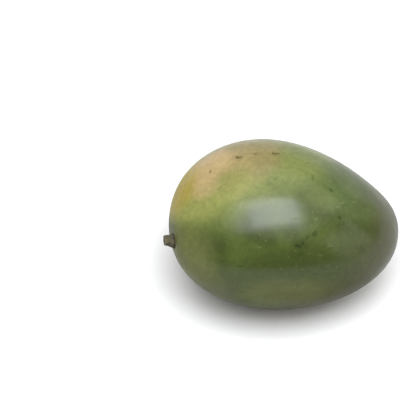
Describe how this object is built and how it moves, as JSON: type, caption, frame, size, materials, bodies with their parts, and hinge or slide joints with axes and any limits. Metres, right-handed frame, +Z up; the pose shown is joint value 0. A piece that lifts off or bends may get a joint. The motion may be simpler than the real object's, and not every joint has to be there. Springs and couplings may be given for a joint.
{
  "type": "mango",
  "caption": "Whole mango lying on its side, with the dry stub of its stalk, resting on a small flat spot of its skin.",
  "frame": {"origin": "middle of the underside of the bounding box, on the surface that the mango rests on", "axes": "+Z up, +X from the stalk end towards the blossom end, +Y towards the fruit's fuller back"},
  "size_m": [0.1216, 0.0906, 0.0836],
  "materials": {
    "skin": "smooth waxy fruit skin with a satin gloss, green with a yellow and orange blush by the stalk",
    "stub_wood": "dry, rough, broken stalk"
  },
  "bodies": {
    "root": {"fruit": "skin", "stem_stub": "stub_wood"}
  },
  "joints": []
}
